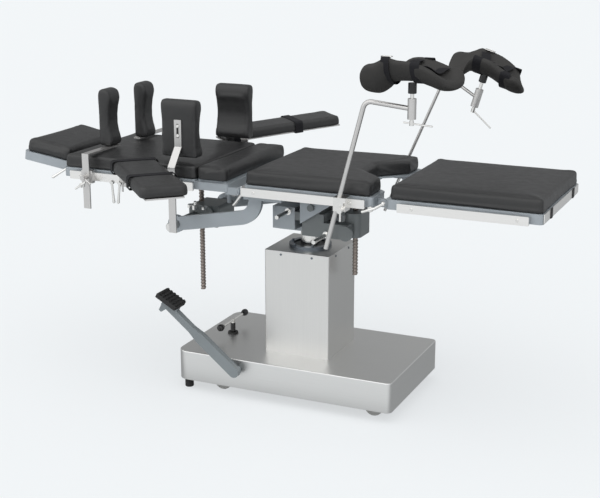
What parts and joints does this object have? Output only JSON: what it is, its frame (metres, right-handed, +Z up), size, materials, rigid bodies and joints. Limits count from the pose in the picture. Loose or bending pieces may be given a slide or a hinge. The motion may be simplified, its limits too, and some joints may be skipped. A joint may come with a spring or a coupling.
{
  "type": "operating table",
  "caption": "Hydraulic operating table: wheeled base, lifting column, jointed padded top, leg holders, armrests and body supports.",
  "frame": {"origin": "on the floor under the axis of the lifting column", "axes": "+Z up, +X to the foot end of the table top, -Y to the near side with the pedal"},
  "size_m": [2.0126, 1.4243, 1.2746],
  "materials": {
    "stainless_cover": "brushed stainless sheet, satin",
    "painted_frame": "light blue-grey hammered paint",
    "stainless_bright": "bright stainless bar, fine grain",
    "screw_steel": "oiled machined screw steel",
    "upholstery": "black satin upholstery, fine leather grain",
    "black_rubber": "matt black rubber",
    "wheel_plastic": "pale grey castor tread",
    "chassis_paint": "dark grey paint",
    "knob_plastic": "black phenolic"
  },
  "bodies": {
    "base": {"base_cover": "stainless_cover", "chassis": "chassis_paint", "column_cover": "stainless_cover", "column_flange": "screw_steel", "lift_cylinder": "chassis_paint", "pump_unit": "chassis_paint"},
    "brake_screw": {"brake_handle": "stainless_bright", "brake_knobs": "knob_plastic"},
    "brake_beam": {"brake_frame": "chassis_paint", "brake_feet": "black_rubber"},
    "pedal": {"pedal_arm": "painted_frame", "pedal_pad": "black_rubber"},
    "swivel_near": {"swivel_fork_near": "stainless_bright"},
    "swivel_far": {"swivel_fork_far": "stainless_bright"},
    "wheel_head_near": {"castor_wheel_head_near": "wheel_plastic"},
    "wheel_head_far": {"castor_wheel_head_far": "wheel_plastic"},
    "wheel_foot_near": {"castor_wheel_foot_near": "wheel_plastic"},
    "wheel_foot_far": {"castor_wheel_foot_far": "wheel_plastic"},
    "ram": {"lift_ram": "stainless_bright", "saddle": "painted_frame", "roll_gearbox": "painted_frame"},
    "roll_drive": {"roll_crank": "stainless_bright"},
    "cradle": {"tilt_cradle": "painted_frame", "roll_worm_wheel": "screw_steel", "tilt_gearbox": "painted_frame"},
    "tilt_drive": {"tilt_crank": "stainless_bright"},
    "tilt_rod": {"tilt_screw": "screw_steel"},
    "seat": {"seat_frame": "painted_frame", "drive_arms": "painted_frame", "seat_cushion": "upholstery", "seat_rails": "stainless_bright", "leg_holder_clamps": "stainless_bright"},
    "back": {"back_frame": "painted_frame", "back_cushion": "upholstery", "back_rails": "stainless_bright", "support_clamps": "stainless_bright"},
    "kidney": {"kidney_plate": "painted_frame", "kidney_cushion": "upholstery"},
    "back_gear": {"back_gearbox": "painted_frame"},
    "back_drive": {"back_crank": "stainless_bright"},
    "back_rod": {"back_screw": "screw_steel"},
    "head": {"head_frame": "painted_frame", "head_cushion": "upholstery"},
    "leg": {"leg_frame": "painted_frame", "leg_cushion": "upholstery", "leg_rails": "stainless_bright"},
    "shoulder_near": {"shoulder_pad_near": "upholstery"},
    "shoulder_far": {"shoulder_pad_far": "upholstery"},
    "side_near": {"body_pad_near": "upholstery"},
    "side_far": {"body_pad_far": "upholstery"},
    "armrest_near": {"armrest_board_near": "stainless_bright", "armrest_pad_near": "upholstery"},
    "armrest_far": {"armrest_board_far": "stainless_bright", "armrest_pad_far": "upholstery"},
    "pole_near": {"leg_pole_near": "stainless_bright"},
    "pole_far": {"leg_pole_far": "stainless_bright"},
    "trough_near": {"leg_stem_near": "stainless_bright", "leg_trough_near": "upholstery"},
    "trough_far": {"leg_stem_far": "stainless_bright", "leg_trough_far": "upholstery"}
  },
  "joints": [
    {"name": "brake_turn", "type": "hinge", "parent": "base", "child": "brake_screw", "pos_m": [-0.321, 0, 0.15], "axis": [0, 0, 1], "range_deg": [0, 360]},
    {"name": "brake_lift", "type": "slide", "parent": "base", "child": "brake_beam", "axis": [0, 0, 1], "range_m": [0, 0.008], "stiffness_N_per_m": 30, "springref_m": 0.739},
    {"name": "pedal_press", "type": "hinge", "parent": "base", "child": "pedal", "pos_m": [-0.172, -0.27, 0.115], "axis": [0, -1, 0], "range_deg": [0, 25], "stiffness_Nm_per_rad": 40, "springref_deg": -20.05},
    {"name": "swivel_near", "type": "hinge", "parent": "base", "child": "swivel_near", "pos_m": [-0.285, -0.185, 0.09], "axis": [0, 0, 1], "continuous": true},
    {"name": "swivel_far", "type": "hinge", "parent": "base", "child": "swivel_far", "pos_m": [-0.285, 0.185, 0.09], "axis": [0, 0, 1], "continuous": true},
    {"name": "spin_head_near", "type": "hinge", "parent": "swivel_near", "child": "wheel_head_near", "pos_m": [-0.265, -0.185, 0.037], "axis": [0, 1, 0], "continuous": true},
    {"name": "spin_head_far", "type": "hinge", "parent": "swivel_far", "child": "wheel_head_far", "pos_m": [-0.265, 0.185, 0.037], "axis": [0, 1, 0], "continuous": true},
    {"name": "spin_foot_near", "type": "hinge", "parent": "base", "child": "wheel_foot_near", "pos_m": [0.328, -0.185, 0.035], "axis": [0, 1, 0], "continuous": true},
    {"name": "spin_foot_far", "type": "hinge", "parent": "base", "child": "wheel_foot_far", "pos_m": [0.328, 0.185, 0.035], "axis": [0, 1, 0], "continuous": true},
    {"name": "lift", "type": "slide", "parent": "base", "child": "ram", "axis": [0, 0, 1], "range_m": [0, 0.25]},
    {"name": "side_tilt", "type": "hinge", "parent": "ram", "child": "cradle", "pos_m": [0, 0, 0.64], "axis": [-1, 0, 0], "range_deg": [-15, 15]},
    {"name": "side_tilt_crank", "type": "hinge", "parent": "ram", "child": "roll_drive", "pos_m": [-0.038, 0, 0.68], "axis": [0, 1, 0], "range_deg": [-305, 305]},
    {"name": "table_tilt", "type": "hinge", "parent": "cradle", "child": "seat", "pos_m": [0.055, 0, 0.705], "axis": [0, -1, 0], "range_deg": [-18, 12]},
    {"name": "tilt_screw_travel", "type": "slide", "parent": "cradle", "child": "tilt_rod", "axis": [0, 0, 1], "range_m": [-0.038, 0.0255]},
    {"name": "tilt_crank_turn", "type": "hinge", "parent": "cradle", "child": "tilt_drive", "pos_m": [0.11, 0, 0.612], "axis": [0, 1, 0], "range_deg": [-365, 245]},
    {"name": "back_tilt", "type": "hinge", "parent": "seat", "child": "back", "pos_m": [-0.176, 0, 0.766], "axis": [0, 1, 0], "range_deg": [-10, 50]},
    {"name": "back_gear_swing", "type": "hinge", "parent": "seat", "child": "back_gear", "pos_m": [-0.445, 0, 0.612], "axis": [0, 1, 0], "range_deg": [-3, 12]},
    {"name": "back_screw_travel", "type": "slide", "parent": "back_gear", "child": "back_rod", "axis": [0, 0, 1], "range_m": [-0.05, 0.226]},
    {"name": "back_crank_turn", "type": "hinge", "parent": "back_gear", "child": "back_drive", "pos_m": [-0.445, -0.22, 0.612], "axis": [0, 1, 0], "range_deg": [-205, 1005]},
    {"name": "kidney_lift", "type": "slide", "parent": "back", "child": "kidney", "axis": [0, 0, 1], "range_m": [0, 0.08]},
    {"name": "head_tilt", "type": "hinge", "parent": "back", "child": "head", "pos_m": [-0.885, 0, 0.775], "axis": [0, 1, 0], "range_deg": [-80, 12]},
    {"name": "leg_tilt", "type": "hinge", "parent": "seat", "child": "leg", "pos_m": [0.356, 0, 0.772], "axis": [0, 1, 0], "range_deg": [0, 90]},
    {"name": "shoulder_near_slide", "type": "slide", "parent": "back", "child": "shoulder_near", "axis": [0, -1, 0], "range_m": [-0.02, 0.07]},
    {"name": "shoulder_far_slide", "type": "slide", "parent": "back", "child": "shoulder_far", "axis": [0, 1, 0], "range_m": [-0.02, 0.07]},
    {"name": "side_near_height", "type": "slide", "parent": "back", "child": "side_near", "axis": [0, 0, 1], "range_m": [-0.012, 0.035]},
    {"name": "side_far_height", "type": "slide", "parent": "back", "child": "side_far", "axis": [0, 0, 1], "range_m": [-0.012, 0.035]},
    {"name": "armrest_near_swing", "type": "hinge", "parent": "back", "child": "armrest_near", "pos_m": [-0.525, -0.339, 0.82], "axis": [0, 0, 1], "range_deg": [-64, 14]},
    {"name": "armrest_far_swing", "type": "hinge", "parent": "back", "child": "armrest_far", "pos_m": [-0.501, 0.339, 0.82], "axis": [0, 0, -1], "range_deg": [-64, 14]},
    {"name": "pole_near_swing", "type": "hinge", "parent": "seat", "child": "pole_near", "pos_m": [0.226, -0.29, 0.775], "axis": [-0.2554, 0, -0.9668], "range_deg": [-20, 60]},
    {"name": "pole_far_swing", "type": "hinge", "parent": "seat", "child": "pole_far", "pos_m": [0.245, 0.29, 0.775], "axis": [0.3939, 0, 0.9191], "range_deg": [-20, 60]},
    {"name": "trough_near_swivel", "type": "hinge", "parent": "pole_near", "child": "trough_near", "pos_m": [0.477, -0.29, 1.107], "axis": [0, 0, 1], "range_deg": [-30, 30]},
    {"name": "trough_far_swivel", "type": "hinge", "parent": "pole_far", "child": "trough_far", "pos_m": [0.518, 0.29, 1.062], "axis": [0.2756, 0, 0.9613], "range_deg": [-30, 30]}
  ],
  "couplings": [
    {"joint": "brake_lift", "follows": "brake_turn", "m_per_rad": 0.00127},
    {"joint": "side_tilt_crank", "follows": "side_tilt", "ratio": 20},
    {"joint": "tilt_screw_travel", "follows": "table_tilt", "m_per_rad": 0.118},
    {"joint": "tilt_crank_turn", "follows": "table_tilt", "ratio": 20},
    {"joint": "back_gear_swing", "follows": "back_tilt", "ratio": 0.22},
    {"joint": "back_screw_travel", "follows": "back_tilt", "m_per_rad": 0.2568},
    {"joint": "back_crank_turn", "follows": "back_tilt", "ratio": 20}
  ]
}
